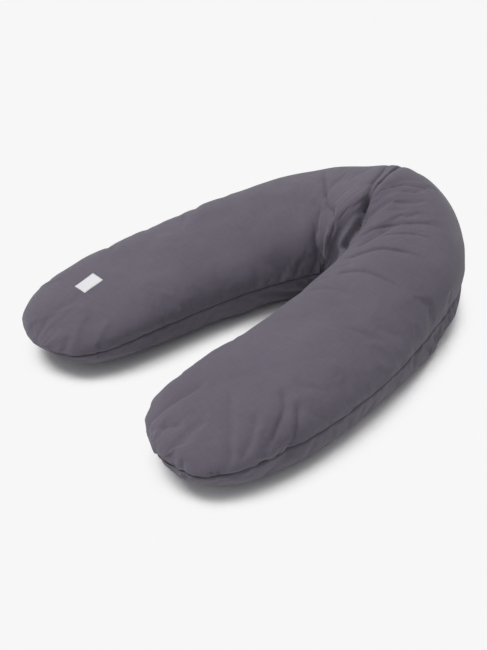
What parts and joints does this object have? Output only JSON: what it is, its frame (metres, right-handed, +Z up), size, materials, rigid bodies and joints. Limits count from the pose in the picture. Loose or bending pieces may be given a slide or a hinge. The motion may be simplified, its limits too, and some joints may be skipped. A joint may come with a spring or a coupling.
{
  "type": "nursing pillow",
  "caption": "Crescent nursing pillow: zipped two-panel fabric cover over a fibre-filled inner casing, folded into two long arms that spread at the bend.",
  "frame": {"origin": "middle of the footprint's bounding box, on the surface that the pillow lies on", "axes": "+Z up, +Y towards the bend, so both arms run towards -Y; the zipped and labelled arm is on the -X side"},
  "size_m": [0.7502, 0.9081, 0.256],
  "materials": {
    "cover_fabric": "fine plain-woven cotton, matt, purple-grey",
    "casing_fabric": "thin undyed cotton",
    "filling_fibre": "loose white polyester fibre",
    "zip_tape": "woven polyester tape",
    "zip_coil": "nylon coil, satin",
    "zip_metal": "zinc, painted to match the cover",
    "label_cloth": "blank white woven satin"
  },
  "bodies": {
    "left_half": {"cover_top_left": "cover_fabric", "cover_bottom_left": "cover_fabric", "casing_top_left": "casing_fabric", "casing_bottom_left": "casing_fabric", "filling_left": "filling_fibre", "zip_tape_upper": "zip_tape", "zip_tape_lower": "zip_tape", "zip_coil_upper": "zip_coil", "zip_coil_lower": "zip_coil", "zip_top_stop_upper": "zip_metal", "zip_top_stop_lower": "zip_metal", "zip_bottom_stop": "zip_metal", "brand_label": "label_cloth", "care_label": "label_cloth"},
    "right_half": {"cover_top_right": "cover_fabric", "cover_bottom_right": "cover_fabric", "casing_top_right": "casing_fabric", "casing_bottom_right": "casing_fabric", "filling_right": "filling_fibre"},
    "zip_slider": {"zip_slider": "zip_metal"},
    "zip_pull": {"zip_pull": "zip_metal"}
  },
  "joints": [
    {"name": "bend_flex", "type": "hinge", "parent": "left_half", "child": "right_half", "pos_m": [0, 0.45579, 0.1], "axis": [0, 0, 1], "range_deg": [0, 35]},
    {"name": "zip_travel", "type": "hinge", "parent": "left_half", "child": "zip_slider", "pos_m": [1.06519, -0.23241, 0.079], "axis": [0, 0, 1], "range_deg": [0, 14.2]},
    {"name": "pull_swing", "type": "hinge", "parent": "zip_slider", "child": "zip_pull", "pos_m": [-0.31013, 0.20992, 0.079], "axis": [0, 0, -1], "range_deg": [0, 170]}
  ]
}
